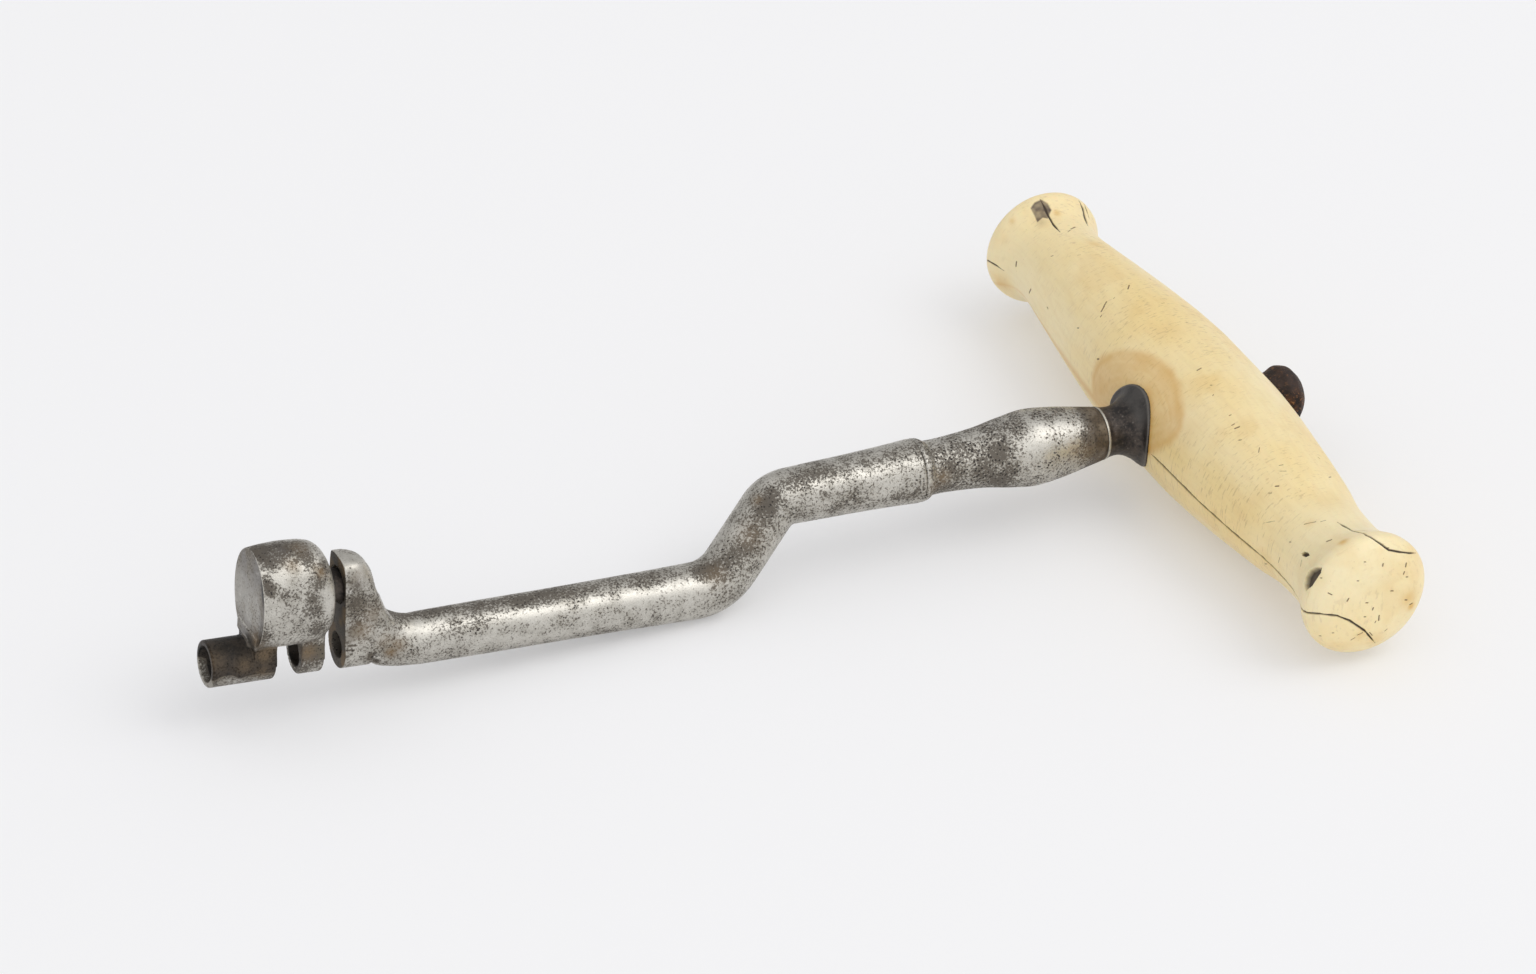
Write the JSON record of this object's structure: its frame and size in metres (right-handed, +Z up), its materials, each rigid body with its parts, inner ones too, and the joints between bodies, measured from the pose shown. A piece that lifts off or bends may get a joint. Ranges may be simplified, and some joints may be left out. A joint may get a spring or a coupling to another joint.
{
  "type": "dental key",
  "caption": "Antique dental key: turned cross handle, cranked round shank, swivelling bolster with empty slotted bore for a claw.",
  "frame": {"origin": "centre of the bounding box in X and Y, at the surface that the tool lies on", "axes": "+X along the stem from the bolster head to the handle, +Y along the cross handle, +Z up with the tool lying on the belly of the handle and the elbow of the crank"},
  "size_m": [0.1526, 0.0958, 0.0239],
  "materials": {
    "ivory": "smooth satin, aged ivory or bone, cracked",
    "shank_steel": "worn bright steel with fine dark pitting",
    "baluster_steel": "worn bright steel, turned, with fine dark pitting",
    "dark_iron": "dark brown patina",
    "rusty_iron": "rusty brown patina",
    "bolster_steel": "stained and pitted worn steel",
    "pivot_steel": "dull steel"
  },
  "bodies": {
    "handle_and_shank": {"handle": "ivory", "shank": "shank_steel", "baluster": "baluster_steel", "collar": "dark_iron", "tang_nut": "rusty_iron"},
    "bolster_head": {"bolster": "bolster_steel", "bolster_pivot": "pivot_steel"}
  },
  "joints": [
    {"name": "bolster_swivel", "type": "hinge", "parent": "handle_and_shank", "child": "bolster_head", "pos_m": [-0.05912, -0.00223, 0.01649], "axis": [0.9959, -0.0188, -0.0884], "continuous": true}
  ]
}
